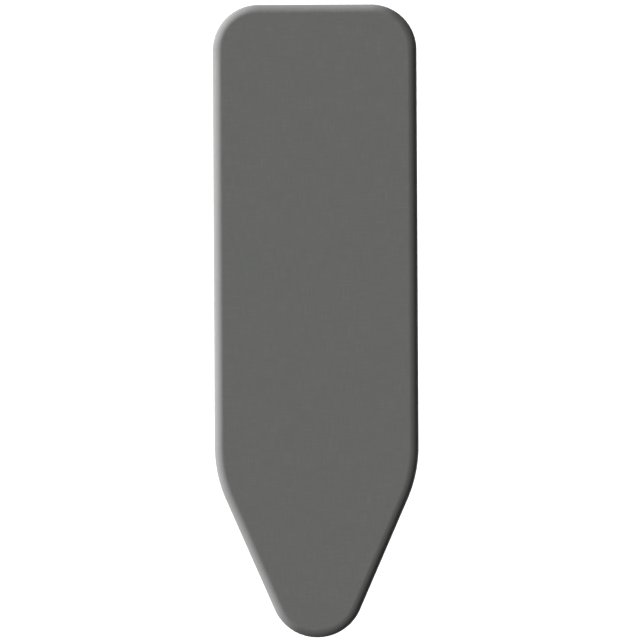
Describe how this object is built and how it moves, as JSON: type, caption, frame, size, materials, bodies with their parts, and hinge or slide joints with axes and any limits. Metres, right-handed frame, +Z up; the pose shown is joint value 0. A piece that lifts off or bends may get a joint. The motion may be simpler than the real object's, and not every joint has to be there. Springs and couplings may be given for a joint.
{
  "type": "ironing board",
  "caption": "Free-standing ironing board with a padded, elasticated silver-grey cover on a steel frame, scissor legs that fold flat and a lever-released stepless height lock",
  "frame": {"origin": "on the floor, under the middle of the board", "axes": "+Y along the board from its nose to its square end, +X across it, +Z up"},
  "size_m": [0.388, 1.204, 0.92],
  "materials": {
    "cover_cloth": "metallised plain weave, satin",
    "pad_foam": "matt needled felt",
    "hem_elastic": "ribbed elastic tape",
    "board_steel": "satin light grey powder coat",
    "leg_steel": "satin graphite powder coat",
    "zinc_steel": "zinc plated",
    "bright_rod": "bright drawn",
    "cap_plastic": "fine grained",
    "guide_plastic": "natural nylon",
    "grip_plastic": "fine grained"
  },
  "bodies": {
    "board": {"brace_front": "board_steel", "brace_lock": "board_steel", "brace_middle": "board_steel", "brace_nose": "board_steel", "brace_pivot": "board_steel", "clamp_housing": "zinc_steel", "clamp_spring": "zinc_steel", "cover": "cover_cloth", "edge_frame": "board_steel", "foam_pad": "pad_foam", "guide_rail_left": "board_steel", "guide_rail_right": "board_steel", "hem_elastic": "hem_elastic", "lever_pin": "zinc_steel", "pivot_bolts": "zinc_steel", "pivot_bracket_left": "board_steel", "pivot_bracket_right": "board_steel", "pivot_nuts": "zinc_steel", "pivot_washers": "zinc_steel", "rail_stops": "guide_plastic", "rivets": "zinc_steel", "rod_bushes": "guide_plastic", "top_sheet": "board_steel"},
    "outer_leg": {"cross_bolts": "zinc_steel", "cross_nuts": "zinc_steel", "cross_spacers": "guide_plastic", "cross_washers": "zinc_steel", "outer_foot_bar": "leg_steel", "outer_foot_cap_left": "cap_plastic", "outer_foot_cap_right": "cap_plastic", "outer_top_plugs": "cap_plastic", "outer_tube_left": "leg_steel", "outer_tube_right": "leg_steel"},
    "inner_leg": {"inner_cross_bar": "leg_steel", "inner_foot_bar": "leg_steel", "inner_foot_cap_left": "cap_plastic", "inner_foot_cap_right": "cap_plastic", "inner_top_bar": "bright_rod", "inner_top_plugs": "cap_plastic", "inner_tube_left": "leg_steel", "inner_tube_right": "leg_steel"},
    "slider": {"lock_rod": "bright_rod", "plate_screws": "zinc_steel", "rod_end_cap": "guide_plastic", "rod_nuts": "zinc_steel", "slide_block_left": "guide_plastic", "slide_block_right": "guide_plastic", "slider_plate": "zinc_steel"},
    "lever": {"lever_arm": "zinc_steel", "lever_grip": "grip_plastic"},
    "clamp": {"clamp_plate": "zinc_steel"}
  },
  "joints": [
    {"name": "legs_fold", "type": "hinge", "parent": "board", "child": "outer_leg", "pos_m": [0, 0.39, 0.86999], "axis": [-1, 0, 0], "range_deg": [0, 52]},
    {"name": "leg_crossing", "type": "hinge", "parent": "outer_leg", "child": "inner_leg", "pos_m": [0, 0.12527, 0.53115], "axis": [-1, 0, 0], "range_deg": [-104, 0]},
    {"name": "slider_pivot", "type": "hinge", "parent": "inner_leg", "child": "slider", "pos_m": [0, -0.13947, 0.86999], "axis": [-1, 0, 0], "range_deg": [0, 52]},
    {"name": "lever_pull", "type": "hinge", "parent": "board", "child": "lever", "pos_m": [0.05, 0.194, 0.89549], "axis": [0, 0, 1], "range_deg": [0, 21], "stiffness_Nm_per_rad": 1.5, "springref_deg": -22.92},
    {"name": "clamp_tilt", "type": "hinge", "parent": "board", "child": "clamp", "pos_m": [-0.027, 0.176, 0.89799], "axis": [0, 0, 1], "range_deg": [-7, 0], "deforming": ["clamp_spring"]}
  ],
  "couplings": [
    {"joint": "leg_crossing", "follows": "legs_fold", "ratio": -2},
    {"joint": "slider_pivot", "follows": "legs_fold", "ratio": 1},
    {"joint": "clamp_tilt", "follows": "lever_pull", "ratio": -0.33333}
  ]
}
